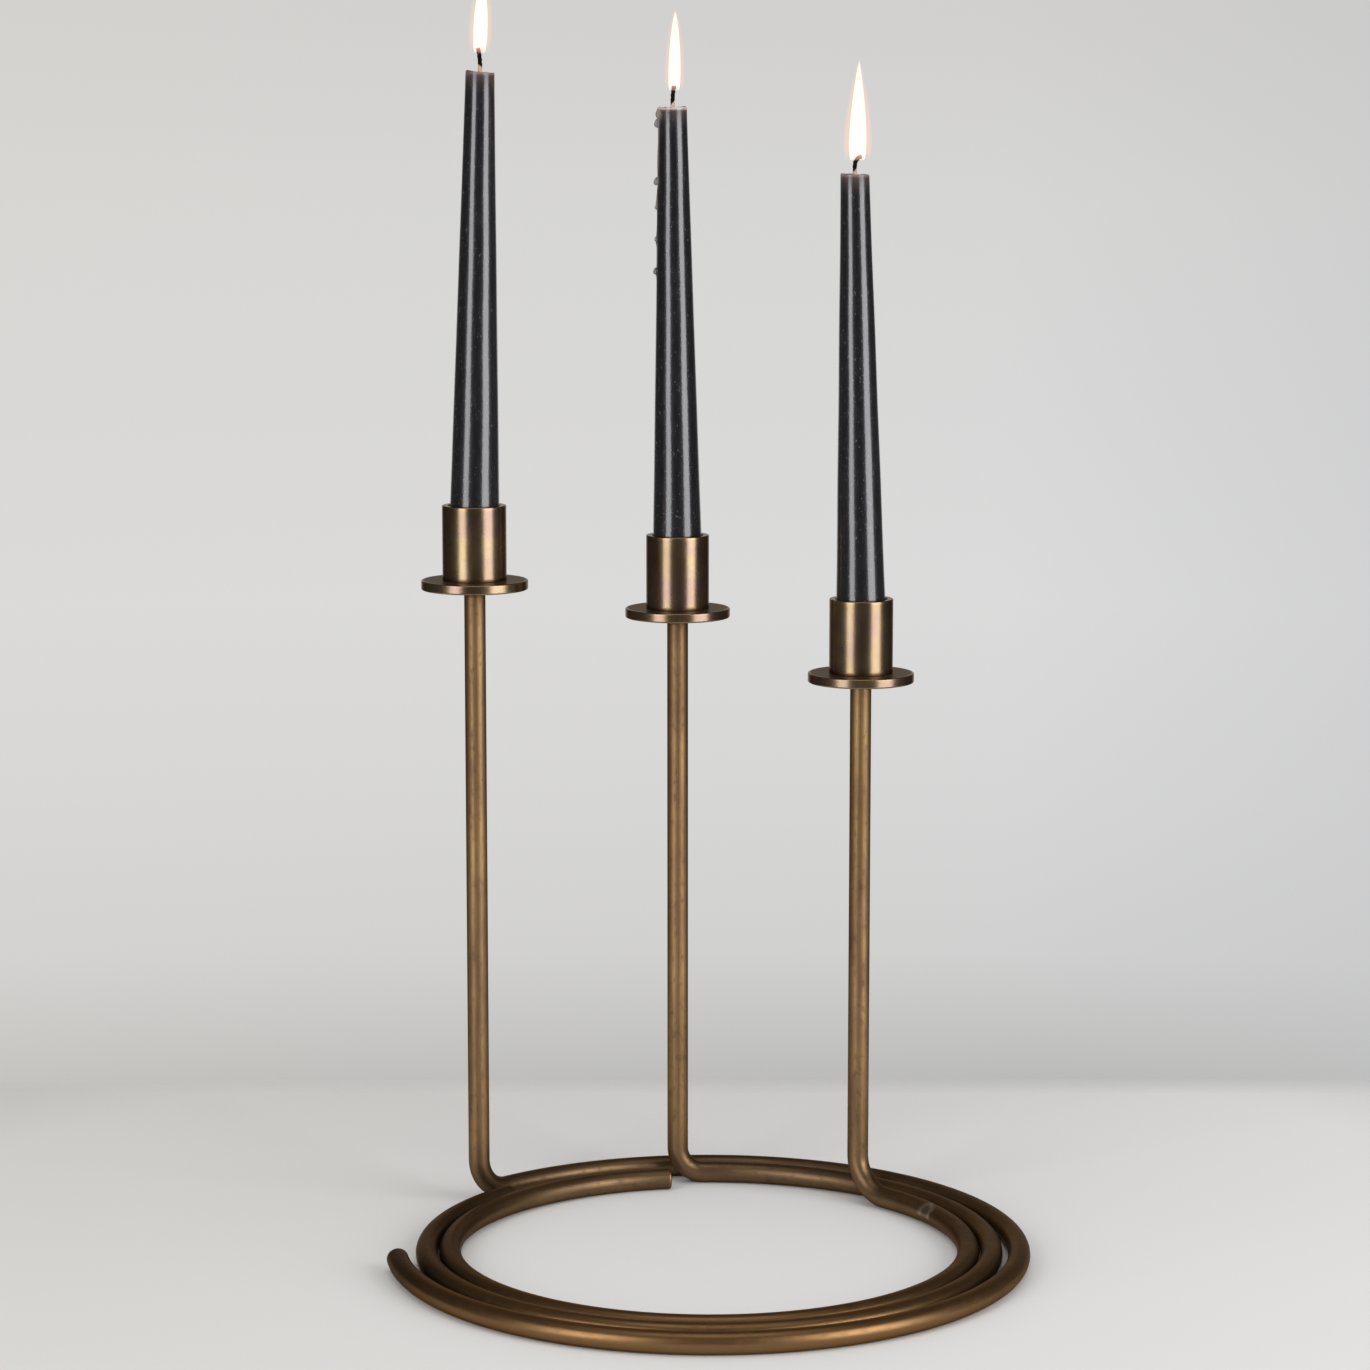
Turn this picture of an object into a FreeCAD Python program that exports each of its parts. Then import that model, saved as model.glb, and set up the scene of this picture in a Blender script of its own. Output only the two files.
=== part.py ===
"""Spiral candle holder: three nested bar holders, each a ring on the floor that rises into one stem.

Millimetres. +Z is up. The origin is the common centre of the three rings, on the surface they stand on.
Seen from above, each bar runs clockwise from the foot of its stem to a square cut end.
"""
import FreeCAD
import Part
import os
import Sketcher

# Driving lengths, in mm. Holder by holder: outer is the tallest, inner the shortest.
LENGTHS = {
    # Bar and nest
    "rod_diameter": 10.0,
    "inner_ring_radius": 117.8,
    "inner_ring_gap": 0.6,
    "outer_ring_gap": 2.5,
    "outer_tail_radius": 150.0,
    "cut_chamfer": 0.5,
    "running_clearance": 0.05,
    # Outer holder
    "outer_bend_radius": 17.0,
    "outer_stem_height": 296.0,
    "outer_candle_length": 231.5,
    "outer_wick_rise": 3.0,
    "outer_wick_curl": 8.6,
    # Middle holder
    "middle_bend_radius": 12.5,
    "middle_stem_height": 278.0,
    "middle_candle_length": 233.5,
    "middle_wick_rise": 3.0,
    "middle_wick_curl": 7.6,
    # Inner holder
    "inner_bend_radius": 18.0,
    "inner_stem_height": 251.5,
    "inner_candle_length": 229.3,
    "inner_wick_rise": 4.5,
    "inner_wick_curl": 6.0,
    # Drip pan
    "pan_diameter": 50.0,
    "pan_thickness": 4.5,
    "pan_edge_chamfer": 0.6,
    # Candle cup, whose bore follows the candle's foot
    "candle_clearance": 0.6,
    "cup_wall": 2.8,
    "cup_height": 35.0,
    "cup_floor": 3.0,
    "cup_rim_chamfer": 0.5,
    "cup_foot_chamfer": 0.4,
    # Countersunk cup screw
    "screw_diameter": 5.0,
    "screw_length": 20.0,
    "screw_head_diameter": 9.4,
    "screw_head_height": 2.4,
    "screw_point": 0.6,
    "slot_width": 1.2,
    "slot_depth": 1.1,
    "tapping_allowance": 2.0,
    # Taper candle and wick
    "candle_foot_diameter": 23.2,
    "candle_foot_length": 30.0,
    "candle_top_diameter": 13.3,
    "candle_foot_chamfer": 1.0,
    "candle_top_round": 0.6,
    "candle_dish_depth": 0.8,
    "wick_diameter": 2.0,
}
# Driving angles, in degrees. Headings and starts turn from +X towards +Y.
# A candle's lean is positive towards +X. Its wick's lean is measured from the candle.
ANGLES = {
    "outer_start_angle": 133.5,
    "outer_sweep_angle": 279.0,
    "outer_tail_angle": 25.5,
    "outer_candle_lean_angle": 1.13,
    "outer_wick_lean_angle": 14.8,
    "outer_wick_heading_angle": 180.0,
    "middle_start_angle": 90.9,
    "middle_sweep_angle": 313.5,
    "middle_candle_lean_angle": -0.59,
    "middle_wick_lean_angle": 11.6,
    "middle_wick_heading_angle": 0.0,
    "inner_start_angle": 44.3,
    "inner_sweep_angle": 305.5,
    "inner_candle_lean_angle": -1.14,
    "inner_wick_lean_angle": 72.0,
    "inner_wick_heading_angle": 0.0,
}
HOLDERS = ("outer", "middle", "inner")

# Formulas that several pieces share
ROD_RADIUS = "Dims.rod_diameter / 2"
INNER_RADIUS = "Dims.inner_ring_radius"
MIDDLE_RADIUS = INNER_RADIUS + " + Dims.rod_diameter + Dims.inner_ring_gap"
OUTER_RADIUS = MIDDLE_RADIUS + " + Dims.rod_diameter + Dims.outer_ring_gap"
RING_RADIUS = {"outer": f"({OUTER_RADIUS})", "middle": f"({MIDDLE_RADIUS})", "inner": INNER_RADIUS}
SCREW_RADIUS = "Dims.screw_diameter / 2"
HEAD_RADIUS = "Dims.screw_head_diameter / 2"
SCREW_HOLE_RADIUS = f"({SCREW_RADIUS} + Dims.running_clearance)"
FOOT_RADIUS = "Dims.candle_foot_diameter / 2"
BORE_RADIUS = f"({FOOT_RADIUS} + Dims.candle_clearance)"
CUP_RADIUS = f"({BORE_RADIUS} + Dims.cup_wall)"
WICK_RADIUS = "Dims.wick_diameter / 2"
WICK_HOLE_RADIUS = f"({WICK_RADIUS} + Dims.running_clearance)"

# Two lengths this close are the same one
SAME = 1e-6

doc = FreeCAD.newDocument("SpiralCandleHolder")
sheet = doc.addObject("Spreadsheet::Sheet", "Dims")
for row, (alias, value) in enumerate((LENGTHS | ANGLES).items(), start=1):
    sheet.set(f"A{row}", alias)
    sheet.set(f"B{row}", str(value))
    sheet.setAlias(f"B{row}", alias)
doc.recompute()


def bind(item, **formulas):
    """Bind each named property of an object to a formula."""
    for name, formula in formulas.items():
        item.setExpression(name, formula)


def place(item, x, y, z, yaw="0", pitch="0", roll="0"):
    """Bind an object's placement to formulas for its point and its turns about Z, Y and X."""
    item.setExpression("Placement", f"placement(vector({x}; {y}; {z}); rotation({yaw}; {pitch}; {roll}))")


def primitive(kind, name, **formulas):
    """One solid whose sizes are formulas."""
    item = doc.addObject(f"Part::{kind}", name)
    bind(item, **formulas)
    return item


def stem_axis(holder):
    """Formulas for where a holder's stem stands: one bend radius back from the start of its ring."""
    ring = RING_RADIUS[holder]
    start = f"Dims.{holder}_start_angle"
    bend = f"Dims.{holder}_bend_radius"
    x = f"{ring} * cos({start}) - {bend} * sin({start})"
    y = f"{ring} * sin({start}) + {bend} * cos({start})"
    return x, y


def floor_arc(name, x, y, radius, end, sweep):
    """A stretch of round bar lying on the floor, from its end angle on, about a centre at x, y."""
    arc = primitive("Torus", name, Radius1=radius, Radius2=ROD_RADIUS, Angle3=sweep)
    place(arc, x, y, ROD_RADIUS, yaw=end)
    return arc


def cut_end(name, x, y, radius, angle):
    """The chamfered edge of a bar's cut end, at an angle round the centre x, y."""
    cap = primitive(
        "Cone",
        name,
        Radius1=ROD_RADIUS,
        Radius2=f"{ROD_RADIUS} - Dims.cut_chamfer",
        Height="Dims.cut_chamfer",
    )
    place(
        cap,
        f"{x} + {radius} * cos({angle})",
        f"{y} + {radius} * sin({angle})",
        ROD_RADIUS,
        yaw=f"{angle} - 90",
        pitch="90",
    )
    return cap


def make_arm(holder):
    """One bent bar: stem, foot bend, ring, for the outer one a wider tail, and a tapped stem end."""
    ring = RING_RADIUS[holder]
    start = f"Dims.{holder}_start_angle"
    bend = f"Dims.{holder}_bend_radius"
    top = f"Dims.{holder}_stem_height"
    x, y = stem_axis(holder)
    stem = primitive(
        "Cylinder",
        f"{holder}_stem",
        Radius=ROD_RADIUS,
        Height=f"{top} - {bend} - {ROD_RADIUS}",
    )
    place(stem, x, y, f"{bend} + {ROD_RADIUS}")
    foot = primitive("Torus", f"{holder}_foot_bend", Radius1=bend, Radius2=ROD_RADIUS)
    foot.Angle3 = 90
    foot_z = f"{bend} + {ROD_RADIUS}"
    place(foot, f"{ring} * cos({start})", f"{ring} * sin({start})", foot_z, yaw=f"{start} + 90", roll="-90")
    end = f"({start} - Dims.{holder}_sweep_angle)"
    pieces = [stem, foot]
    pieces.append(floor_arc(f"{holder}_ring", "0", "0", ring, end, f"Dims.{holder}_sweep_angle"))
    if holder == "outer":
        tail = "Dims.outer_tail_radius"
        tail_x = f"({ring} - {tail}) * cos({end})"
        tail_y = f"({ring} - {tail}) * sin({end})"
        tail_end = f"({end} - Dims.outer_tail_angle)"
        pieces.append(floor_arc("outer_tail", tail_x, tail_y, tail, tail_end, "Dims.outer_tail_angle"))
        pieces.append(cut_end("outer_cut_end", tail_x, tail_y, tail, tail_end))
    else:
        pieces.append(cut_end(f"{holder}_cut_end", "0", "0", ring, end))
    bar = doc.addObject("Part::MultiFuse", f"{holder}_bar")
    bar.Shapes = pieces
    bar.Refine = True
    in_bar = "Dims.screw_length - Dims.cup_floor - Dims.pan_thickness"
    depth = f"({in_bar} + Dims.tapping_allowance)"
    tapping = primitive("Cylinder", f"{holder}_tapping", Radius=SCREW_HOLE_RADIUS, Height=depth)
    place(tapping, x, y, f"{top} - {depth}")
    arm = doc.addObject("Part::Cut", f"{holder}_arm")
    arm.Base = bar
    arm.Tool = tapping
    return arm


def turned_body(name, outline):
    """A body turned about its own Z axis from a closed outline of (radius, height) formulas."""
    body = doc.addObject("PartDesign::Body", name)
    sketch = body.newObject("Sketcher::SketchObject", f"{name}_outline")
    plane = next(feature for feature in body.Origin.OriginFeatures if feature.Role == "XZ_Plane")
    sketch.AttachmentSupport = [(plane, "")]
    sketch.MapMode = "FlatFace"
    places = [(float(sheet.evalExpression(radius)), float(sheet.evalExpression(z))) for radius, z in outline]
    points = [FreeCAD.Vector(*spot, 0) for spot in places]
    for index, point in enumerate(points):
        following = points[(index + 1) % len(points)]
        sketch.addGeometry(Part.LineSegment(point, following), False)
    for index in range(len(points)):
        after = (index + 1) % len(points)
        sketch.addConstraint(Sketcher.Constraint("Coincident", index, 2, after, 1))
    for index, (formulas, point) in enumerate(zip(outline, points)):
        for kind, axis, formula, value in zip("XY", (-2, -1), formulas, (point.x, point.y)):
            if formula == "0":
                sketch.addConstraint(Sketcher.Constraint("PointOnObject", index, 1, axis))
                continue
            number = sketch.addConstraint(Sketcher.Constraint(f"Distance{kind}", -1, 1, index, 1, value))
            sketch.setExpression(f"Constraints[{number}]", formula)
    turned = body.newObject("PartDesign::Revolution", f"{name}_turned")
    turned.Profile = sketch
    turned.ReferenceAxis = (sketch, ["V_Axis"])
    turned.Angle = 360
    doc.recompute()
    return body


def circles_at(shape, radius, height):
    """Names of the round edges of a shape that have this radius at this height."""
    radius = float(sheet.evalExpression(radius))
    height = float(sheet.evalExpression(height))
    found = []
    for number, edge in enumerate(shape.Edges, start=1):
        curve = edge.Curve
        if not isinstance(curve, Part.Circle):
            continue
        if abs(curve.Radius - radius) < SAME and abs(curve.Center.z - height) < SAME:
            found.append(f"Edge{number}")
    return found


def dress(body, kind, edges, **formulas):
    """Round or chamfer some edges of a body's last feature."""
    base = body.Tip
    names = [name for radius, height in edges for name in circles_at(base.Shape, radius, height)]
    feature = body.newObject(f"PartDesign::{kind}", f"{body.Name}_dressed")
    feature.Base = (base, names)
    bind(feature, **formulas)
    doc.recompute()
    return feature


def make_drip_pan(holder):
    """Flat turned disc on the stem's end, with a hole for the cup screw."""
    edge = "Dims.pan_diameter / 2"
    top = "Dims.pan_thickness"
    outline = [(SCREW_HOLE_RADIUS, "0"), (edge, "0"), (edge, top), (SCREW_HOLE_RADIUS, top)]
    pan = turned_body(f"{holder}_drip_pan", outline)
    dress(pan, "Chamfer", [(edge, "0"), (edge, top)], Size="Dims.pan_edge_chamfer")
    x, y = stem_axis(holder)
    place(pan, x, y, f"Dims.{holder}_stem_height")
    return pan


def make_candle_cup(holder):
    """Turned cup with a straight socket and a countersunk hole through its floor."""
    top = "Dims.cup_height"
    floor = "Dims.cup_floor"
    narrowing = f"({HEAD_RADIUS} - {SCREW_HOLE_RADIUS}) / ({HEAD_RADIUS} - {SCREW_RADIUS})"
    cone = f"Dims.screw_head_height * {narrowing}"
    outline = [
        (SCREW_HOLE_RADIUS, "0"),
        (CUP_RADIUS, "0"),
        (CUP_RADIUS, top),
        (BORE_RADIUS, top),
        (BORE_RADIUS, floor),
        (HEAD_RADIUS, floor),
        (SCREW_HOLE_RADIUS, f"{floor} - {cone}"),
    ]
    cup = turned_body(f"{holder}_candle_cup", outline)
    dress(cup, "Chamfer", [(CUP_RADIUS, "0")], Size="Dims.cup_foot_chamfer")
    rim = "min(Dims.cup_rim_chamfer; Dims.cup_wall / 4)"
    dress(cup, "Chamfer", [(CUP_RADIUS, top), (BORE_RADIUS, top)], Size=rim)
    x, y = stem_axis(holder)
    place(cup, x, y, f"Dims.{holder}_stem_height + Dims.pan_thickness")
    return cup


def make_cup_screw(holder):
    """Slotted countersunk screw, head flush with the cup's floor, that clamps cup and pan to the stem."""
    length = "Dims.screw_length"
    point = f"{SCREW_RADIUS} - Dims.screw_point"
    outline = [
        ("0", "0"),
        (HEAD_RADIUS, "0"),
        (SCREW_RADIUS, "-Dims.screw_head_height"),
        (SCREW_RADIUS, f"-({length} - Dims.screw_point)"),
        (point, f"-{length}"),
        ("0", f"-{length}"),
    ]
    screw = turned_body(f"{holder}_cup_screw", outline)
    solid_volume = screw.Shape.Volume
    slot = screw.newObject("Sketcher::SketchObject", f"{holder}_slot_outline")
    plane = next(feature for feature in screw.Origin.OriginFeatures if feature.Role == "XY_Plane")
    slot.AttachmentSupport = [(plane, "")]
    slot.MapMode = "FlatFace"
    corners = [("-", "-"), ("", "-"), ("", ""), ("-", "")]
    reach = HEAD_RADIUS
    half_width = "Dims.slot_width / 2"
    values = [
        (float(sheet.evalExpression(f"{a}{reach}")), float(sheet.evalExpression(f"{b}{half_width}")))
        for a, b in corners
    ]
    for index, (x, y) in enumerate(values):
        after = values[(index + 1) % len(values)]
        line = Part.LineSegment(FreeCAD.Vector(x, y, 0), FreeCAD.Vector(*after, 0))
        slot.addGeometry(line, False)
    for index in range(len(values)):
        after = (index + 1) % len(values)
        slot.addConstraint(Sketcher.Constraint("Coincident", index, 2, after, 1))
    for index, ((a, b), (x, y)) in enumerate(zip(corners, values)):
        across = slot.addConstraint(Sketcher.Constraint("DistanceX", -1, 1, index, 1, x))
        slot.setExpression(f"Constraints[{across}]", f"{a}{reach}")
        along = slot.addConstraint(Sketcher.Constraint("DistanceY", -1, 1, index, 1, y))
        slot.setExpression(f"Constraints[{along}]", f"{b}{half_width}")
    pocket = screw.newObject("PartDesign::Pocket", f"{holder}_slot")
    pocket.Profile = slot
    bind(pocket, Length="Dims.slot_depth")
    doc.recompute()
    if screw.Shape.Volume >= solid_volume:
        raise RuntimeError(f"{holder} screw: the slot cuts nothing")
    x, y = stem_axis(holder)
    place(screw, x, y, f"Dims.{holder}_stem_height + Dims.pan_thickness + Dims.cup_floor")
    return screw


def stand_in_cup(item, holder):
    """Stand an object on the cup's floor, leaning as its candle does about the middle of the socket."""
    lean = f"Dims.{holder}_candle_lean_angle"
    half_socket = "(Dims.cup_height - Dims.cup_floor) / 2"
    lifted = f"({FOOT_RADIUS} - Dims.candle_foot_chamfer) * abs(sin({lean}))"
    x, y = stem_axis(holder)
    z = f"Dims.{holder}_stem_height + Dims.pan_thickness + Dims.cup_floor + {lifted}"
    place(item, f"{x} - {half_socket} * sin({lean})", y, z, pitch=lean)


def make_candle(holder):
    """Taper candle standing in the cup with a small lean, its burned top slightly dished."""
    tip = "Dims.candle_top_diameter / 2"
    length = f"Dims.{holder}_candle_length"
    chamfer = "Dims.candle_foot_chamfer"
    outline = [
        (WICK_HOLE_RADIUS, "0"),
        (f"{FOOT_RADIUS} - {chamfer}", "0"),
        (FOOT_RADIUS, chamfer),
        (FOOT_RADIUS, "Dims.candle_foot_length"),
        (tip, length),
        (WICK_HOLE_RADIUS, f"{length} - Dims.candle_dish_depth"),
    ]
    candle = turned_body(f"{holder}_candle", outline)
    dress(candle, "Fillet", [(tip, length)], Radius="Dims.candle_top_round")
    stand_in_cup(candle, holder)
    return candle


def make_wick(holder):
    """Cotton wick through the whole candle, rising straight out of it and then curling over."""
    straight = f"(Dims.{holder}_candle_length - Dims.candle_dish_depth + Dims.{holder}_wick_rise)"
    lean = f"Dims.{holder}_wick_lean_angle"
    heading = f"Dims.{holder}_wick_heading_angle"
    bend = f"(Dims.{holder}_wick_curl * 180 / (pi * {lean}))"
    core = primitive("Cylinder", f"{holder}_wick_core", Radius=WICK_RADIUS, Height=straight)
    curl = primitive("Torus", f"{holder}_wick_curl", Radius1=bend, Radius2=WICK_RADIUS, Angle3=lean)
    curl_x = f"{bend} * cos({heading})"
    curl_y = f"{bend} * sin({heading})"
    place(curl, curl_x, curl_y, straight, yaw=f"{heading} + 180", roll="90")
    wick = doc.addObject("Part::MultiFuse", f"{holder}_wick")
    wick.Shapes = [core, curl]
    wick.Refine = True
    stand_in_cup(wick, holder)
    return wick


makers = (make_arm, make_drip_pan, make_candle_cup, make_cup_screw, make_candle, make_wick)
pieces = [make(holder) for holder in HOLDERS for make in makers]
doc.recompute()

for item in doc.Objects:
    if "Invalid" in item.State or "Error" in item.State:
        raise RuntimeError(f"{item.Label} failed to build")
for piece in pieces:
    if piece.Shape.isNull() or not piece.Shape.isValid():
        raise RuntimeError(f"{piece.Label} has no valid shape")
    if len(piece.Shape.Solids) != 1:
        raise RuntimeError(f"{piece.Label} is not one solid")

os.makedirs("parts", exist_ok=True)
for piece in pieces:
    piece.Shape.exportStep(f"parts/{piece.Label}.step")
    box = piece.Shape.BoundBox
    print(f"{piece.Label}: volume {piece.Shape.Volume:.1f}, z {box.ZMin:.2f} to {box.ZMax:.2f}")
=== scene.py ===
"""Spiral candle holder: finishes, wax, wicks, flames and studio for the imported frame. Metres, +Z up."""
import bpy
import math
import numpy as np
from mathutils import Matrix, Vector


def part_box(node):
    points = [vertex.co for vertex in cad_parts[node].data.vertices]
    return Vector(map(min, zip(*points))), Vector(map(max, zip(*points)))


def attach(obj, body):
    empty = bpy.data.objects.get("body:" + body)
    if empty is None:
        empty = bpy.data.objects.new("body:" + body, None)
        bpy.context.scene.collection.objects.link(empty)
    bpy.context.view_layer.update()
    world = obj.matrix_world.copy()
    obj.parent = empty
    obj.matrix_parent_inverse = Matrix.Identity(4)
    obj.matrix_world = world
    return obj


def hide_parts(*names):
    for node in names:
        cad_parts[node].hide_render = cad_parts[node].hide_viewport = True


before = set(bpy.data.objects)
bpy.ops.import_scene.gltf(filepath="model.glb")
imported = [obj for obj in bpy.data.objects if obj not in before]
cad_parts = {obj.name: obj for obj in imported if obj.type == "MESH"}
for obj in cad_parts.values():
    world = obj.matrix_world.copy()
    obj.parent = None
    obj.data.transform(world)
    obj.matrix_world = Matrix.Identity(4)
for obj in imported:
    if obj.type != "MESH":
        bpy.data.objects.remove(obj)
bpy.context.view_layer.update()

MM = 0.001
HOLDERS = ("outer", "middle", "inner")

# The bars: how many degrees each is swept through, and how much the cut ends are broken
SWEEP = {"outer": 279.0, "middle": 313.5, "inner": 305.5}
OUTER_TAIL_RADIUS = 150 * MM
OUTER_TAIL_SWEEP = 25.5
CUT_CHAMFER = 0.5 * MM
RING_GAP = 0.6 * MM
ROD_RADIUS = (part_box("middle_arm")[1].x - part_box("inner_arm")[1].x - RING_GAP) / 2
# A square mark on the inner bar: its middle seen from above, and half its width
SMUDGE_PLACE = (101 * MM, 51 * MM)
SMUDGE_REACH = 3.5 * MM

# Pans and cups: the sizes that the frame's boxes don't give, and how far wear reaches from an edge
SCREW_HOLE = 2.55 * MM
SCREW_HEAD = 4.7 * MM
COUNTERSINK_FOOT = 0.6 * MM
PAN_EDGE = 0.7 * MM
CUP_WALL = 2.8 * MM
CUP_FLOOR = 3.0 * MM
CUP_FOOT_EDGE = 0.35 * MM
CUP_RIM_EDGE = 0.5 * MM
EDGE_WEAR = 0.45 * MM

# Candles: radii and lengths, the lean in degrees, and how far in mm and towards what heading the rim tilts
FOOT_RADIUS = 11.6 * MM
FOOT_CHAMFER = 1.0 * MM
FOOT_LENGTH = 30 * MM
TOP_RADIUS = 6.65 * MM
TOP_ROUND = 0.6 * MM
DISH_DEPTH = 0.8 * MM
CANDLE_LENGTH = {"outer": 231.5 * MM, "middle": 233.5 * MM, "inner": 229.3 * MM}
CANDLE_LEAN = {"outer": 1.13, "middle": -0.59, "inner": -1.14}
RIM_TILT = {"outer": (0.5, 180.0), "middle": (0.1, 0.0), "inner": (0.35, 180.0)}
# Wax runs of the middle candle: heading, first and last mm below the top, half width and height in mm
RUNS = (
    (190.0, -1.0, 5.0, 2.2, 0.8),
    (196.0, 4.0, 36.0, 1.1, 0.45),
    (181.0, 2.0, 47.0, 0.8, 0.35),
    (186.0, 40.0, 64.0, 0.7, 0.30),
    (180.0, 60.0, 79.0, 0.6, 0.25),
)
# Beads that hang on the runs: heading, mm below the top, radius in mm
BEADS = (
    (184.0, 7.5, 1.45),
    (184.0, 34.5, 1.35),
    (186.0, 46.5, 0.9),
    (184.0, 61.5, 0.85),
    (186.0, 76.5, 1.15),
)

# Wicks: straight rise out of the dish and arc after it in mm, and the arc's degrees and heading
WICKS = {
    "outer": (3.0, 8.6, 14.8, 180.0),
    "middle": (3.0, 7.6, 11.6, 0.0),
    "inner": (4.5, 6.0, 72.0, 0.0),
}
WICK_RADIUS = 1.0 * MM
# How many mm of each wick are made below the dish
WICK_SUNK = 10
# Flames: foot and tip above the candle's rim and widest radius in mm, how pointed, sideways drift in mm of
# foot and tip
FLAMES = {
    "outer": (8.4, 35.9, 3.25, 0.30, (-0.3, 0.4)),
    "middle": (7.5, 44.8, 2.85, 0.65, (0.8, 1.7)),
    "inner": (6.2, 52.7, 4.0, 0.85, (1.2, 2.7)),
}
# How many mm the hollow round the wick's tip reaches up into the flame
FLAME_HOLLOW = 3.4

# How finely the pieces are made: points round a turned piece and a bar, along a turned edge, along a run
# between two edges, and for each degree of a ring
TURNED_SIDES = 160
BAR_SIDES = 40
ARC_POINTS = 5
RUN_POINTS = 9
POINTS_PER_DEGREE = 1.6

# The floor: its end behind the object, the radii between which it fades elsewhere, and its shades
# forwards, painted darker towards the wall's foot
FLOOR_FAR = 0.335
FLOOR_FADE = 0.55
FLOOR_REACH = 0.90
FLOOR_SHADES = ((0.0, "#cfcfcf"), (0.25, "#d3d3d3"), (0.6, "#d4d4d4"), (1.0, "#d8d8d8"))
# The wall's painted shading from its foot, which is painted darkest, upwards
WALL_SHADES = (
    (0.020, "#b8b8b7"),
    (0.058, "#c1c1c0"),
    (0.137, "#d0d0d0"),
    (0.269, "#d6d6d6"),
    (0.447, "#dbdbdb"),
    (0.626, "#d8d8d8"),
    (0.804, "#d6d6d5"),
    (0.963, "#d1d0cf"),
)
# Lamps: azimuth from the camera's side in degrees, distance, height, width and length in m, radiance
SOFTBOXES = {
    "left_softbox": (-43, 2.6, 0.85, 1.25, 2.6, 4.3),
    "right_softbox": (55, 2.6, 0.85, 1.75, 2.6, 4.6),
    "top_softbox": (0, 0.15, 1.8, 1.2, 0.9, 1.2),
}
LAMP_AIM = (0, 0.08, 0.28)

# The camera's place is fitted to the photograph, which is square
PHOTO_PIXELS = 1370
FOCAL_PIXELS = 3963.66
SENSOR_MM = 36.0
CAMERA_PLACE = (-10.98 * MM, -1750 * MM, 522.41 * MM)
CAMERA_PITCH = 8.40


def linear(code):
    """Linear colour with alpha 1 of an sRGB hex code."""
    parts = np.array([int(code[i:i + 2], 16) for i in (1, 3, 5)]) / 255
    parts = np.where(parts <= 0.04045, parts / 12.92, ((parts + 0.055) / 1.055) ** 2.4)
    return (*parts.tolist(), 1.0)


def add(tree, kind, inputs=None, out=0, stops=(), **settings):
    """Adds a node with its settings and links, and returns one of its outputs.

    inputs maps a socket's name or number to a value, a hex colour or another node's output. stops are a
    colour ramp's places and hex colours.
    """
    node = tree.nodes.new("ShaderNode" + kind)
    for name, value in settings.items():
        setattr(node, name, value)
    for key, value in (inputs or {}).items():
        if isinstance(value, bpy.types.NodeSocket):
            tree.links.new(value, node.inputs[key])
        else:
            node.inputs[key].default_value = linear(value) if isinstance(value, str) else value
    for number, (position, code) in enumerate(stops):
        elements = node.color_ramp.elements
        element = elements[number] if number < len(elements) else elements.new(position)
        element.position = position
        element.color = linear(code)
    return node.outputs[out] if len(node.outputs) else node


def blank_material(name):
    """A material with an empty node tree."""
    material = bpy.data.materials.new(name)
    material.use_nodes = True
    material.node_tree.nodes.clear()
    return material, material.node_tree


def pattern(tree, stretch, scale, detail):
    """Noise from 0 to 1 that follows the straightened piece, with features about 1 / scale mm across.

    stretch multiplies the place across the piece, in x and y, and along it, in z: under 1 draws it out.
    """
    place = add(tree, "Attribute", out="Vector", attribute_name="unrolled")
    place = add(tree, "VectorMath", {0: place, 1: stretch}, operation="MULTIPLY")
    return add(tree, "TexNoise", {"Vector": place, "Scale": scale, "Detail": detail, "Roughness": 0.55})


def stained(tree, base, colour, mask, low, high, least=0.0, most=1.0):
    """A base with a colour laid over it, least where the mask is at low and most where it is at high."""
    limits = {"From Min": low, "From Max": high, "To Min": least, "To Max": most}
    share = add(tree, "MapRange", {"Value": mask, **limits})
    # Sockets 6 and 7 are the mix's two colours, and output 2 is its colour
    return add(tree, "Mix", {0: share, 6: base, 7: colour}, out=2, data_type="RGBA")


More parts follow.
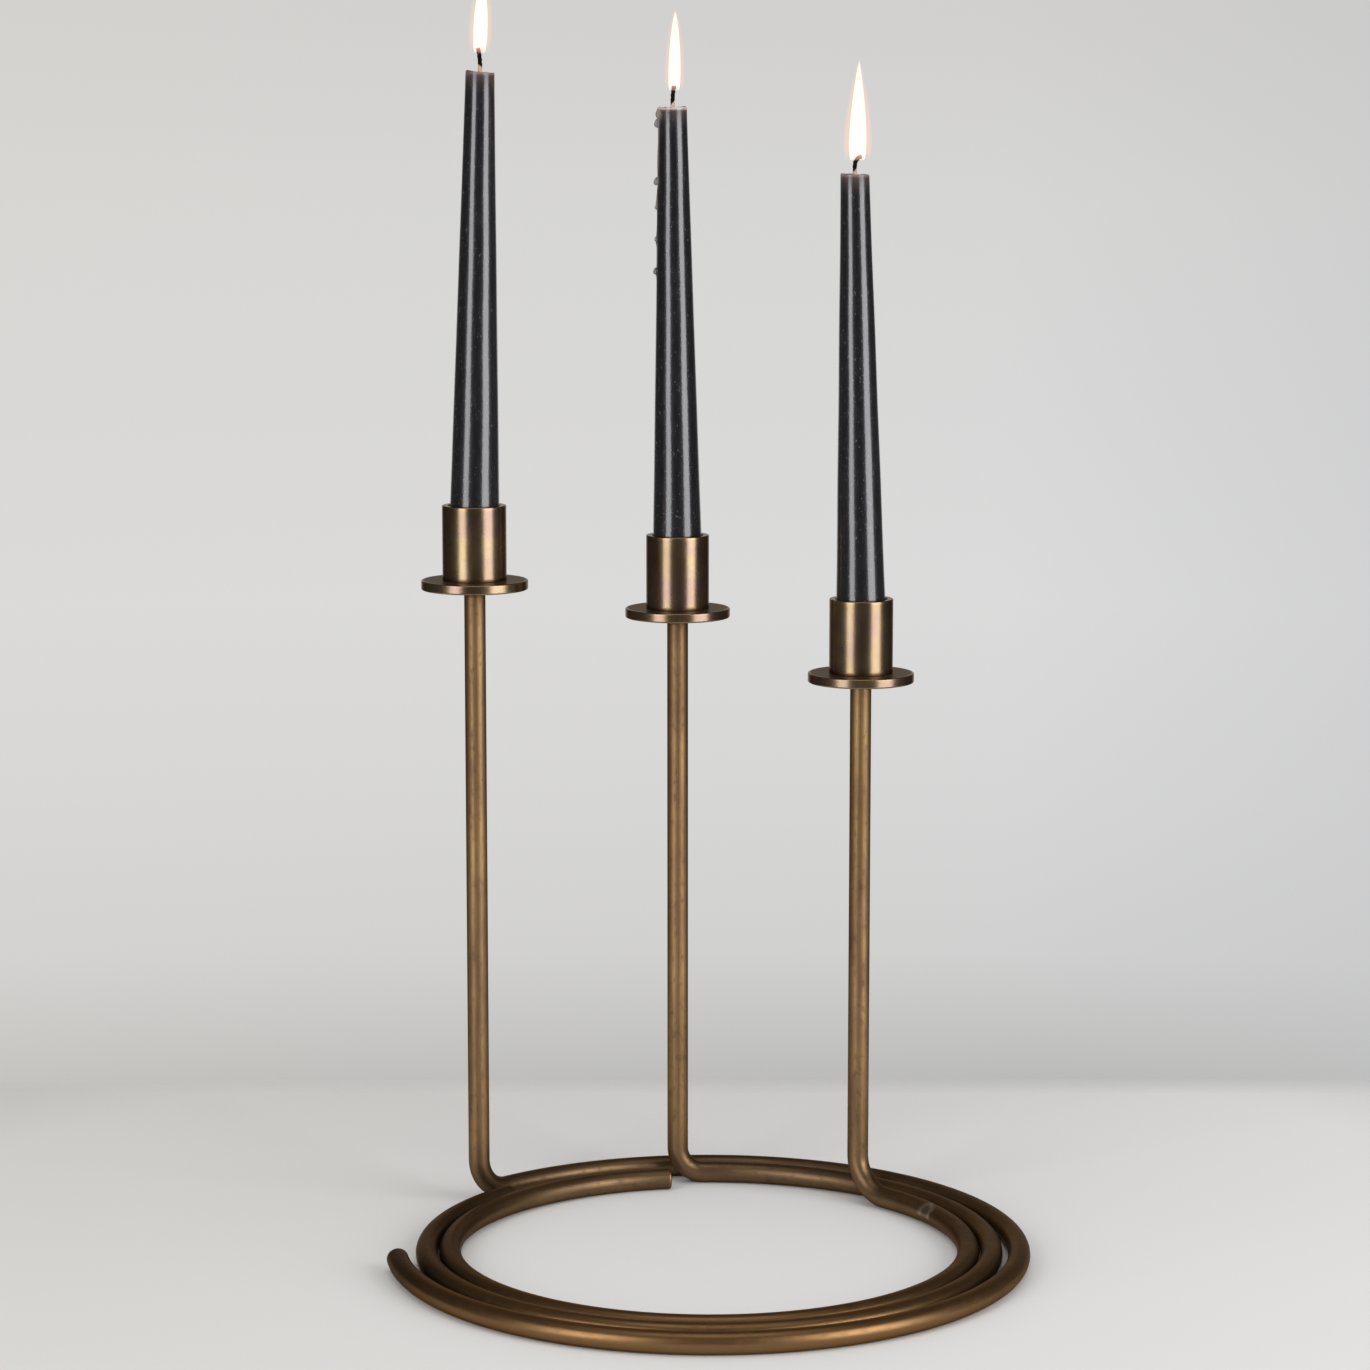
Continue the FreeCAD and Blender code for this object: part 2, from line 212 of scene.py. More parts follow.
def turned_brass():
    """Antique brass, turned and burnished, then darkened: faint turning lines, soft gloss, worn edges."""
    material, tree = blank_material("turned_antique_brass")
    # Turning lines are 0.1 mm apart on the real cup; 0.5 mm is the finest that shows here
    lines = pattern(tree, (0.02, 0.02, 1.0), scale=2.0, detail=3.0)
    clouds = pattern(tree, (1.0, 1.0, 0.6), scale=0.07, detail=3.0)
    tint = pattern(tree, (1.0, 1.0, 1.6), scale=0.045, detail=2.0)
    specks = pattern(tree, (1.0, 1.0, 1.0), scale=1.6, detail=2.0)
    dull = add(tree, "Attribute", out="Fac", attribute_name="dull")
    worn = add(tree, "Attribute", out="Fac", attribute_name="worn")
    browns = ((0.30, "#77644c"), (0.52, "#887355"), (0.72, "#938261"))
    colour = add(tree, "ValToRGB", {0: clouds}, stops=browns)
    colour = stained(tree, colour, "#7d6062", tint, 0.42, 0.66, most=0.65)
    colour = stained(tree, colour, "#5f4d3a", lines, 0.35, 0.75, most=0.10)
    colour = stained(tree, colour, "#564d45", dull, 0, 1, most=0.6)
    colour = stained(tree, colour, "#2f241b", specks, 0.70, 0.78, most=0.6)
    colour = stained(tree, colour, "#c9a877", worn, 0, 1, most=0.3)
    gloss = {"Value": clouds, "From Min": 0.3, "From Max": 0.7, "To Min": 0.24, "To Max": 0.29}
    gloss = add(tree, "MapRange", gloss)
    gloss = add(tree, "Math", {0: dull, 1: 0.15, 2: gloss}, operation="MULTIPLY_ADD")
    lacquer = add(tree, "Math", {0: dull, 1: -0.5, 2: 0.5}, operation="MULTIPLY_ADD")
    height = add(tree, "Math", {0: specks, 1: 0.4, 2: lines}, operation="MULTIPLY_ADD")
    sockets = {
        "Base Color": colour,
        "Metallic": 1.0,
        "Roughness": gloss,
        "Specular Tint": stained(tree, "#a3917e", "#cfc5ba", dull, 0, 1),
        "Coat Weight": lacquer,
        "Coat Roughness": 0.2,
        "Normal": add(tree, "Bump", {"Height": height, "Strength": 1.0, "Distance": 0.0012 * MM}),
    }
    add(tree, "OutputMaterial", {"Surface": add(tree, "BsdfPrincipled", sockets)})
    return material


def drawn_brass():
    """Antique brass bar, drawn and bent by hand: lengthwise streaks, brown patina in blotches, pits."""
    material, tree = blank_material("drawn_antique_brass")
    # Drawing marks are hair fine; they are drawn 0.8 mm wide so that they show
    streaks = pattern(tree, (1.0, 1.0, 0.015), scale=1.2, detail=3.0)
    blotches = pattern(tree, (1.0, 1.0, 0.35), scale=0.09, detail=5.0)
    tint = pattern(tree, (1.0, 1.0, 0.12), scale=0.14, detail=2.0)
    pits = pattern(tree, (1.0, 1.0, 1.0), scale=0.9, detail=2.0)
    grime = pattern(tree, (1.0, 1.0, 0.7), scale=0.35, detail=4.0)
    painted_shade = add(tree, "Attribute", out="Fac", attribute_name="painted_shade")
    painted_highlight = add(tree, "Attribute", out="Fac", attribute_name="painted_highlight")
    smudge = add(tree, "Attribute", out="Fac", attribute_name="smudge")
    worn = add(tree, "Attribute", out="Fac", attribute_name="worn")
    browns = ((0.30, "#765a44"), (0.50, "#8f7150"), (0.70, "#a08158"))
    colour = add(tree, "ValToRGB", {0: blotches}, stops=browns)
    colour = stained(tree, colour, "#8c6f48", tint, 0.40, 0.66, most=0.5)
    colour = stained(tree, colour, "#4a382a", streaks, 0.45, 0.75, most=0.40)
    colour = stained(tree, colour, "#3c2f26", grime, 0.56, 0.72, most=0.35)
    colour = stained(tree, colour, "#1f1812", pits, 0.72, 0.78, most=0.8)
    # Painted shade: darker where the bar lies on the table, and more so on its left side
    colour = stained(tree, colour, "#41362c", painted_shade, 0, 2, most=0.84)
    # Painted highlight: the front of the rings is painted lighter and golden
    colour = stained(tree, colour, "#8a6640", painted_highlight, 0, 1, most=0.65)
    colour = stained(tree, colour, "#b0a493", smudge, 0, 1, most=0.8)
    colour = stained(tree, colour, "#b8925f", worn, 0, 1, most=0.2)
    gloss = {"Value": blotches, "From Min": 0.3, "From Max": 0.7, "To Min": 0.52, "To Max": 0.46}
    gloss = add(tree, "MapRange", gloss)
    gloss = add(tree, "Math", {0: painted_shade, 1: -0.06, 2: gloss}, operation="MULTIPLY_ADD")
    dirt = {"Value": grime, "From Min": 0.5, "From Max": 0.75, "To Min": 0.0, "To Max": 0.12}
    gloss = add(tree, "Math", {0: gloss, 1: add(tree, "MapRange", dirt)}, operation="ADD")
    gloss = add(tree, "Math", {0: painted_highlight, 1: -0.05, 2: gloss}, operation="MULTIPLY_ADD")
    sunk = {"Value": pits, "From Min": 0.70, "From Max": 0.78, "To Min": 1.5, "To Max": 0.0}
    height = {0: streaks, 1: 0.5, 2: add(tree, "MapRange", sunk)}
    height = add(tree, "Math", height, operation="MULTIPLY_ADD")
    sockets = {
        "Base Color": colour,
        "Metallic": 1.0,
        "Roughness": gloss,
        "Specular Tint": "#a69a8c",
        "Coat Weight": 0.15,
        "Coat Roughness": 0.4,
        "Normal": add(tree, "Bump", {"Height": height, "Strength": 1.0, "Distance": 0.02 * MM}),
    }
    add(tree, "OutputMaterial", {"Surface": add(tree, "BsdfPrincipled", sockets)})
    return material


def dipped_wax():
    """Charcoal paraffin, dipped: satin skin under a thin gloss, mottled, with bloom.

    Where the top melts it is clearer and less glossy, and painted brown for the flame's glow through it.
    """
    material, tree = blank_material("dipped_charcoal_wax")
    mottle = pattern(tree, (1.0, 1.0, 0.5), scale=0.25, detail=4.0)
    specks = pattern(tree, (1.0, 1.0, 0.8), scale=1.1, detail=1.0)
    scuffs = pattern(tree, (1.0, 1.0, 0.25), scale=0.6, detail=3.0)
    melt_and_glow = add(tree, "Attribute", out="Fac", attribute_name="melt_and_glow")
    pale = add(tree, "Attribute", out="Fac", attribute_name="pale")
    greys = ((0.30, "#060608"), (0.55, "#0b0c0f"), (0.75, "#17181c"))
    colour = add(tree, "ValToRGB", {0: mottle}, stops=greys)
    colour = stained(tree, colour, "#93959a", specks, 0.68, 0.74, most=0.3)
    # Painted glow: brown where the flame's light shines through the melting top
    colour = stained(tree, colour, "#463a3a", melt_and_glow, 0, 1)
    scuffed = {"Value": scuffs, "From Min": 0.3, "From Max": 0.5, "To Min": 0.6, "To Max": 1.0}
    scuffed = add(tree, "MapRange", scuffed)
    # Painted highlight: a pale glint of the flame's light on the rim and along the runs, broken up by scuffs
    rim = add(tree, "Math", {0: pale, 1: scuffed}, operation="MULTIPLY")
    colour = stained(tree, colour, "#c4b4aa", rim, 0, 1)
    gloss = {"Value": scuffs, "From Min": 0.35, "From Max": 0.75, "To Min": 0.28, "To Max": 0.38}
    height = add(tree, "Math", {0: scuffs, 1: 0.3, 2: mottle}, operation="MULTIPLY_ADD")
    height = add(tree, "Math", {0: specks, 1: 0.8, 2: height}, operation="MULTIPLY_ADD")
    relief = add(tree, "Bump", {"Height": height, "Strength": 1.0, "Distance": 0.03 * MM})
    sockets = {
        "Base Color": colour,
        "Roughness": add(tree, "MapRange", gloss),
        "IOR": 1.44,
        "Specular IOR Level": 0.55,
        "Specular Tint": "#efeef8",
        "Coat Weight": add(tree, "Math", {0: melt_and_glow, 1: -0.75, 2: 1.0}, operation="MULTIPLY_ADD"),
        "Coat Roughness": 0.15,
        "Coat IOR": 1.6,
        "Subsurface Weight": add(tree, "Math", {0: melt_and_glow, 1: 0.5}, operation="MULTIPLY"),
        "Subsurface Radius": (4 * MM, 2 * MM, 1.4 * MM),
        "Subsurface Scale": 1.0,
        "Normal": relief,
        "Coat Normal": relief,
    }
    add(tree, "OutputMaterial", {"Surface": add(tree, "BsdfPrincipled", sockets)})
    return material


def run_wax():
    """The thin wax of a run or bead: set clear and greyish over the dark candle."""
    material, tree = blank_material("thin_set_wax")
    cloud = pattern(tree, (1.0, 1.0, 1.0), scale=0.7, detail=2.0)
    sockets = {
        "Base Color": add(tree, "ValToRGB", {0: cloud}, stops=((0.35, "#7c7d84"), (0.65, "#aeb0b7"))),
        "Roughness": 0.22,
        "IOR": 1.44,
        "Transmission Weight": 0.5,
        "Subsurface Weight": 0.3,
        "Subsurface Radius": (2 * MM, 2 * MM, 2 * MM),
        "Subsurface Scale": 1.0,
    }
    add(tree, "OutputMaterial", {"Surface": add(tree, "BsdfPrincipled", sockets)})
    return material


def braided_wick():
    """Braided cotton: waxed and pale at its foot, charred black above, with the braid's bumps."""
    material, tree = blank_material("charred_cotton_braid")
    weave = pattern(tree, (1.0, 1.0, 0.6), scale=2.2, detail=2.0)
    charred = add(tree, "Attribute", out="Fac", attribute_name="charred")
    glowing = add(tree, "Attribute", out="Fac", attribute_name="glowing")
    cotton = add(tree, "ValToRGB", {0: weave}, stops=((0.35, "#9a7d6c"), (0.65, "#d9c2ae")))
    char = add(tree, "ValToRGB", {0: weave}, stops=((0.35, "#050404"), (0.7, "#160e0b")))
    char = stained(tree, char, "#6a4220", glowing, 0, 1)
    sockets = {
        "Base Color": stained(tree, cotton, char, charred, 0, 1),
        "Roughness": 0.85,
        "Specular IOR Level": 0.1,
        "Normal": add(tree, "Bump", {"Height": weave, "Strength": 1.0, "Distance": 0.2 * MM}),
    }
    add(tree, "OutputMaterial", {"Surface": add(tree, "BsdfPrincipled", sockets)})
    return material


def plain_steel():
    """Zinc-plated screw steel, hidden under the candle: a grain of about 1 mm."""
    material, tree = blank_material("zinc_plated_steel")
    place = add(tree, "TexCoord", out="Object")
    grain = add(tree, "TexNoise", {"Vector": place, "Scale": 0.9 / MM, "Detail": 2.0})
    colour = add(tree, "ValToRGB", {0: grain}, stops=((0.3, "#8a8b8e"), (0.7, "#a9aaad")))
    shader = add(tree, "BsdfPrincipled", {"Base Color": colour, "Metallic": 1.0, "Roughness": 0.35})
    add(tree, "OutputMaterial", {"Surface": shader})
    return material


def burning_vapour(name, colour, strength, clear_depth, skin_colour, skin):
    """Burning wax vapour, which glows through its whole depth and fades where it is thin.

    Seen through clear_depth mm of it, what lies behind keeps 1/e of its brightness. Round it is a film
    that covers the share skin of what it hides, and less at the flame's foot. The film alone shows where
    volumes aren't drawn.
    """
    material, tree = blank_material(name)
    density = 1 / (clear_depth * MM)
    vapour = {
        "Color": "#000000",
        "Absorption Color": "#000000",
        "Density": density,
        "Emission Color": colour,
        "Emission Strength": strength * density,
    }
    light = add(tree, "Emission", {"Color": skin_colour, "Strength": 1.0})
    lit = add(tree, "Attribute", out="Fac", attribute_name="lit")
    cover = add(tree, "Math", {0: lit, 1: skin}, operation="MULTIPLY")
    film = add(tree, "MixShader", {0: cover, 1: add(tree, "BsdfTransparent"), 2: light})
    add(tree, "OutputMaterial", {"Surface": film, "Volume": add(tree, "VolumePrincipled", vapour)})
    return material


def around(count):
    """Angles of count points round a full turn."""
    return np.linspace(0, 2 * np.pi, count, endpoint=False)


def round_grid(radius, angle, height):
    """Points (rows, columns, 3) round the vertical: radius times the angle's cosine and sine, and height."""
    grid = np.broadcast_arrays(radius * np.cos(angle), radius * np.sin(angle), height)
    return np.stack(grid, axis=-1)


def distances(line):
    """How far along a line each of its points is: the lengths of the steps before it, added up."""
    steps = np.linalg.norm(np.diff(line, axis=0), axis=1)
    return np.concatenate([[0], np.cumsum(steps)])


def tube(line, side, across, radius, angle):
    """Points round a line: each plus radius times (cosine times side plus sine times across)."""
    ring = np.cos(angle)[None, :, None] * side[:, None] + np.sin(angle)[None, :, None] * across[:, None]
    return line[:, None] + radius[..., None] * ring


def surface(name, points, unrolled, material, attributes=None):
    """A smooth mesh of quads over a (rows, columns, 3) grid whose columns close round.

    Rows that shrink to a point become one vertex, and a last row that meets the first is joined to it.
    unrolled is each point's place in mm on the straightened piece, which the patterns follow.
    """
    rows, columns = points.shape[:2]
    index = np.arange(rows * columns).reshape(rows, columns)
    if np.allclose(points[0], points[-1]):
        index[-1] = index[0]
    tight = np.ptp(points, axis=1).max(axis=1) < 1e-7
    index[tight] = index[tight][:, :1]
    after = np.roll(index, -1, axis=1)
    quads = np.stack([index[:-1], after[:-1], after[1:], index[1:]], axis=-1).reshape(-1, 4)
    to_point = np.repeat(tight[:-1], columns)
    from_point = np.repeat(tight[1:], columns)
    faces = quads[~to_point & ~from_point].tolist()
    faces += quads[to_point & ~from_point][:, [0, 2, 3]].tolist()
    faces += quads[from_point & ~to_point][:, [0, 1, 2]].tolist()
    used = np.unique(np.concatenate([np.asarray(face) for face in faces]))
    renumber = np.zeros(rows * columns, int)
    renumber[used] = np.arange(len(used))
    faces = [renumber[face].tolist() for face in faces]
    mesh = bpy.data.meshes.new(name)
    mesh.from_pydata(points.reshape(-1, 3)[used].tolist(), [], faces)
    layer = mesh.attributes.new("unrolled", "FLOAT_VECTOR", "POINT")
    layer.data.foreach_set("vector", unrolled.reshape(-1, 3)[used].astype(np.float32).ravel())
    for key, values in (attributes or {}).items():
        values = np.broadcast_to(values, (rows, columns)).reshape(-1)[used]
        layer = mesh.attributes.new(key, "FLOAT", "POINT")
        layer.data.foreach_set("value", values.astype(np.float32))
    mesh.shade_smooth()
    mesh.materials.append(material)
    piece = bpy.data.objects.new(name, mesh)
    bpy.context.scene.collection.objects.link(piece)
    return piece


def turned_box(node):
    """Middle, underside, radius and height of a turned node, from its box in the frame."""
    low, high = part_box(node)
    middle = ((low.x + high.x) / 2, (low.y + high.y) / 2)
    return middle, low.z, (high.x - low.x) / 2, high.z - low.z


def rounded_outline(corners):
    """A closed outline in (radius, height) through corners (radius, height, round), each an arc.

    An arc's centre lies on its corner's bisector, at round over the sine of half the angle. The runs
    between arcs are sampled closer near their ends. Returns the points and how far each is from the
    nearest rounded corner.
    """
    spots = np.array([corner[:2] for corner in corners])
    rounds = np.array([corner[2] for corner in corners])
    arcs = []
    for here, last, after, size in zip(spots, np.roll(spots, 1, axis=0), np.roll(spots, -1, axis=0), rounds):
        if size == 0:
            arcs.append(here[None])
            continue
        to_last = (last - here) / np.linalg.norm(last - here)
        to_next = (after - here) / np.linalg.norm(after - here)
        half = math.acos(np.clip(to_last @ to_next, -1, 1)) / 2
        reach = size / math.tan(half)
        middle = here + (to_last + to_next) / np.linalg.norm(to_last + to_next) * size / math.sin(half)
        start = here + to_last * reach - middle
        stop = here + to_next * reach - middle
        turn = math.atan2(start[0] * stop[1] - start[1] * stop[0], start @ stop)
        angle = math.atan2(start[1], start[0]) + np.linspace(0, turn, ARC_POINTS)
        arcs.append(middle + size * np.stack([np.cos(angle), np.sin(angle)], axis=-1))
    share = (1 - np.cos(np.linspace(0, np.pi, RUN_POINTS))) / 2
    pieces = []
    for arc, following in zip(arcs, arcs[1:] + arcs[:1]):
        pieces.append(arc)
        pieces.append(arc[-1] + share[1:-1, None] * (following[0] - arc[-1]))
    line = np.concatenate(pieces + [arcs[0][:1]])
    away = np.linalg.norm(line[:, None] - spots[rounds > 0][None], axis=-1).min(axis=1)
    return line, away


def turned_piece(name, middle, floor, line, away, material, seed, dull=0.0):
    """Turns an outline of (radius, height) round the vertical through middle, standing at height floor.

    worn falls off from the rounded edges by the square of the distance, as a bell.
    """
    angle = around(TURNED_SIDES)
    points = round_grid(line[:, :1], angle, floor + line[:, 1:]) + np.array([*middle, 0])
    unrolled = round_grid(line[:, 0].max(), angle, distances(line)[:, None])
    marks = {
        "worn": np.exp(-(away / EDGE_WEAR) ** 2)[:, None],
        "dull": np.reshape(dull, (-1, 1)).astype(float),
    }
    return surface(name, points, unrolled / MM + (seed, 0, seed), material, marks)


def make_pan(holder, material, seed):
    """Turned disc with softly broken edges and the screw's hole. Its flat top keeps a dull patina."""
    middle, floor, reach, thick = turned_box(f"{holder}_drip_pan")
    corners = [
        (SCREW_HOLE, 0, 0),
        (reach, 0, PAN_EDGE),
        (reach, thick, PAN_EDGE),
        (SCREW_HOLE, thick, 0),
    ]
    line, away = rounded_outline(corners)
    dull = (line[:, 1] > thick - 0.05 * MM) & (line[:, 0] < reach - 1.2 * MM)
    return turned_piece(f"{holder}_pan", middle, floor, line, away, material, seed, dull)


def make_cup(holder, material, seed):
    """Turned cup: broken foot edge, thin rounded rim, straight socket down to its countersunk floor."""
    middle, floor, reach, tall = turned_box(f"{holder}_candle_cup")
    socket = reach - CUP_WALL
    corners = [
        (SCREW_HOLE, 0, 0),
        (reach, 0, CUP_FOOT_EDGE),
        (reach, tall, CUP_RIM_EDGE),
        (socket, tall, CUP_RIM_EDGE),
        (socket, CUP_FLOOR, 0),
        (SCREW_HEAD, CUP_FLOOR, 0),
        (SCREW_HOLE, COUNTERSINK_FOOT, 0),
    ]
    line, away = rounded_outline(corners)
    return turned_piece(f"{holder}_cup", middle, floor, line, away, material, seed)


def arc_points(centre, radius, start, end, count):
    """Points of a flat arc about a centre, from one angle to another in radians, and their angles."""
    angle = np.linspace(start, end, count)
    flat = np.stack([centre[0] + radius * np.cos(angle), centre[1] + radius * np.sin(angle)], axis=-1)
    return flat, angle


def bar_path(holder):
    """The bar's centre line from the stem's top to its cut end, with its direction and a sideways vector.

    Down the stem, a quarter turn of the bend radius in the plane of stem and tangent, then clockwise round
    the ring, and on the outer bar round a wider arc at the end. The stem's axis is off the ring's middle by
    the hypotenuse of ring radius and bend radius.
    """
    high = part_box(f"{holder}_arm")[1]
    axis, top = turned_box(f"{holder}_drip_pan")[:2]
    ring = high.x - ROD_RADIUS
    bend = math.sqrt(axis[0] ** 2 + axis[1] ** 2 - ring ** 2)
    start = math.atan2(axis[1], axis[0]) - math.atan2(bend, ring)
    end = start - math.radians(SWEEP[holder])
    tangent = np.array([math.sin(start), -math.cos(start), 0])
    outward = np.array([math.cos(start), math.sin(start), 0])
    up = np.array([0, 0, 1.0])
    stem_z = np.linspace(top, ROD_RADIUS + bend, 60)
    stem = np.stack([axis[0] + 0 * stem_z, axis[1] + 0 * stem_z, stem_z], -1)
    turn = np.linspace(0, np.pi / 2, 28)[1:, None]
    foot = np.array([*axis, 0]) + bend * (1 - np.cos(turn)) * tangent
    foot = foot + (ROD_RADIUS + bend * (1 - np.sin(turn))) * up
    foot_way = np.sin(turn) * tangent - np.cos(turn) * up
    flat, angle = arc_points((0, 0), ring, start, end, int(SWEEP[holder] * POINTS_PER_DEGREE))
    flat, angle = flat[1:], angle[1:]
    if holder == "outer":
        middle = (ring - OUTER_TAIL_RADIUS) * np.array([math.cos(end), math.sin(end)])
        stop = end - math.radians(OUTER_TAIL_SWEEP)
        tail, tail_angle = arc_points(middle, OUTER_TAIL_RADIUS, end, stop, 40)
        flat = np.concatenate([flat, tail[1:]])
        angle = np.concatenate([angle, tail_angle[1:]])
    floor = np.column_stack([flat, np.full(len(flat), ROD_RADIUS)])
    floor_way = np.stack([np.sin(angle), -np.cos(angle), 0 * angle], -1)
    floor_side = np.stack([np.cos(angle), np.sin(angle), 0 * angle], -1)
    line = np.concatenate([stem, foot, floor])
    way = np.concatenate([np.tile(-up, (len(stem), 1)), foot_way, floor_way])
    side = np.concatenate([np.tile(outward, (len(stem) + len(foot), 1)), floor_side])
    return line, way, side


def make_bar(holder, material, seed):
    """A round tube along the bar's path, closed by a flat stem top and a chamfered cut end."""
    line, way, side = bar_path(holder)
    radius = np.full(len(line), ROD_RADIUS)
    chamfer = line[-1:] - way[-1:] * CUT_CHAMFER
    line = np.concatenate([line[:1], line[:-1], chamfer, line[-1:], line[-1:]])
    way = np.concatenate([way[:1], way, way[-1:], way[-1:]])
    side = np.concatenate([side[:1], side, side[-1:], side[-1:]])
    radius = np.concatenate([[0], radius, [ROD_RADIUS - CUT_CHAMFER, 0]])[:, None]
    angle = around(BAR_SIDES)
    points = tube(line, side, np.cross(way, side), radius, angle)
    unrolled = round_grid(radius, angle, distances(line)[:, None])
    # The chamfer of the cut end is worn bright
    worn = np.zeros((len(line), 1))
    worn[-3:-1] = 1.0
    x, y, z = (line[:, i:i + 1] / MM for i in range(3))
    # Painted shade: the bar is painted darker low down, where it lies on the table, all of it up to
    # 9 mm and none above 39 mm. From 80 to 145 mm left of the middle the painted shade gets darker still
    painted_shade = np.clip(1.3 - z / 30, 0, 1) * (1 + 0.8 * np.clip((-x - 80) / 65, 0, 1))
    # Painted highlight: the front of the rings is painted lighter and more golden, from 48 to 108 mm forward
    painted_highlight = painted_shade * np.clip(-y / 60 - 0.8, 0, 1)
    # A dull grey outline of a mark on the inner bar's top, right of its stem
    away = np.abs(points[..., :2] - np.array(SMUDGE_PLACE)).max(axis=-1)
    outline = np.exp(-((away - SMUDGE_REACH) / MM) ** 2) + 0.3 * (away < SMUDGE_REACH)
    smudge = outline * (holder == "inner") * (points[..., 2] > ROD_RADIUS)
    marks = {"worn": worn, "painted_shade": painted_shade, "smudge": smudge, "painted_highlight": painted_highlight}
    return surface(f"{holder}_bar", points, unrolled / MM + (seed, 0, seed * 3), material, marks)


def leaning(holder, points):
    """Points of a candle's own frame, stood on the cup's floor and leaning about the socket's middle."""
    middle, floor, _, tall = turned_box(f"{holder}_candle_cup")
    lean = math.radians(CANDLE_LEAN[holder])
    x = middle[0] - (tall - CUP_FLOOR) / 2 * math.sin(lean)
    z = floor + CUP_FLOOR + (FOOT_RADIUS - FOOT_CHAMFER) * abs(math.sin(lean))
    turn = np.array([[math.cos(lean), 0, math.sin(lean)], [0, 1, 0], [-math.sin(lean), 0, math.cos(lean)]])
    return points @ turn.T + np.array([x, middle[1], z])


def candle_outline(tall, rows):
    """Half section of a candle in (radius, height), from the middle of its foot to the middle of its top.

    A chamfer, a straight foot, a straight taper, a quarter round, and a dish that sinks by a sine.
    """
    height = np.linspace(0, 1, rows) * (tall - TOP_ROUND)
    taper = np.clip((height - FOOT_LENGTH) / (tall - FOOT_LENGTH), 0, 1)
    side = np.column_stack([FOOT_RADIUS + (TOP_RADIUS - FOOT_RADIUS) * taper, height])
    bow = np.linspace(0, np.pi / 2, 9)[1:]
    rim = side[-1, 0] - TOP_ROUND * (1 - np.cos(bow))
    rim = np.column_stack([rim, tall - TOP_ROUND * (1 - np.sin(bow))])
    inner = np.linspace(rim[-1, 0], 0, 12)[1:]
    dish = np.column_stack([inner, tall - DISH_DEPTH * np.sin((1 - inner / rim[-1, 0]) * np.pi / 2)])
    base = np.array([[0, 0], [FOOT_RADIUS - FOOT_CHAMFER, 0], [FOOT_RADIUS, FOOT_CHAMFER]])
    return np.concatenate([base, side[side[:, 1] > FOOT_CHAMFER], rim, dish])


def run_height(angle, z, tall):
    """How far wax runs stand out of the middle candle's side, in mm.

    Each run is a ridge with a bell-shaped section that wanders a little and ends in a drop.
    """
    down = (tall - z) / MM
    height = 0 * down
    for heading, start, end, width, stand in RUNS:
        centre = math.radians(heading) + 0.10 * np.sin(down / 6.0) * (down / (end + 1.0))
        turn = np.angle(np.exp(1j * (angle - centre))) * 7.5
        body = 1 / (1 + np.exp((down - end) / 0.7)) / (1 + np.exp((start - down) / 0.7))
        drop = 0.9 * np.exp(-((down - end + 1.6) / 1.7) ** 2)
        ridge = body * (0.75 + 0.25 * np.sin(down / 3.1)) + drop
        height = height + stand * ridge * np.exp(-(turn / width) ** 2)
    return height


def make_candle(holder, material, seed, runs):
    """Taper: its outline turned, with a side that wanders by a twentieth of a mm and a melting top with a
    painted glow.

    The top rim is tilted, with a ripple round it. On the middle candle wax has run down the left.
    """
    tall = CANDLE_LENGTH[holder]
    rows, columns = (420, 150) if runs else (230, 96)
    line = candle_outline(tall, rows)
    angle = around(columns)
    radius = line[:, :1] + 0 * angle
    z = line[:, 1:] + 0 * angle
    near_top = np.clip((z - (tall - 7 * MM)) / (7 * MM), 0, 1) ** 2
    ripple = 0.16 * np.sin(2 * angle + seed) + 0.10 * np.sin(5 * angle + 2 * seed)
    grow = 0.05 * np.sin(z / MM * 0.09 + seed) * np.cos(2 * angle + seed) * (radius > TOP_RADIUS * 0.8)
    if runs:
        # Burned unevenly: the front of the rim has melted down in scallops
        scallop = np.exp(-(np.angle(np.exp(1j * (angle + 1.75))) / 0.35) ** 2)
        ripple = ripple - 0.35 * scallop + 0.12 * np.sin(9 * angle)
        grow = grow + run_height(angle, z, tall)
    size, heading = RIM_TILT[holder]
    lift = (size * np.cos(angle - math.radians(heading)) + ripple) * radius / TOP_RADIUS * near_top
    radius = radius + grow * MM * (line[:, :1] > TOP_RADIUS * 0.7)
    z = z + lift * MM
    points = round_grid(radius, angle, z)
    # The top 11 mm melt and are painted brown for the flame's glow through the wax,
    # and the rim gets a painted pale highlight
    melt_and_glow = np.clip((z - (tall - 11 * MM)) / (10 * MM), 0, 1) ** 1.5
    # Painted highlight: the rim is painted pale where the flame lights it, and the runs where they catch
    # light
    near_rim = np.exp(-(((z - tall) / MM + 0.6) / 0.7) ** 2) * (radius > 0.75 * TOP_RADIUS)
    pale = near_rim * (0.9 if runs else 0.25)
    if runs:
        pale = np.maximum(pale, 0.4 * np.clip(run_height(angle, z, tall) * 3, 0, 1))
    marks = {"melt_and_glow": melt_and_glow, "pale": pale}
    unrolled = points / MM + (seed * 9, 0, seed * 31)
    return surface(f"{holder}_taper_candle", leaning(holder, points), unrolled, material, marks)


def make_bead(number, heading, below, size, material):
    """A drop of wax on the middle candle's side: a sphere drawn out upwards, r = size (1 - 0.35 up)."""
    tall = CANDLE_LENGTH["middle"]
    level = tall - below * MM
    taper = (level - FOOT_LENGTH) / (tall - FOOT_LENGTH)
    out = FOOT_RADIUS + (TOP_RADIUS - FOOT_RADIUS) * taper + 0.35 * size * MM
    facing = math.radians(heading)
    middle = leaning("middle", np.array([out * math.cos(facing), out * math.sin(facing), level]))
    latitude = np.linspace(-np.pi / 2, np.pi / 2, 22)[:, None]
    up = np.sin(latitude)
    girth = size * MM * np.cos(latitude) * (1 - 0.35 * up)
    drop = round_grid(girth, around(28), 1.45 * size * MM * up)
    return surface(f"middle_wax_bead_{number}", middle + drop, drop / MM + number * 7, material)


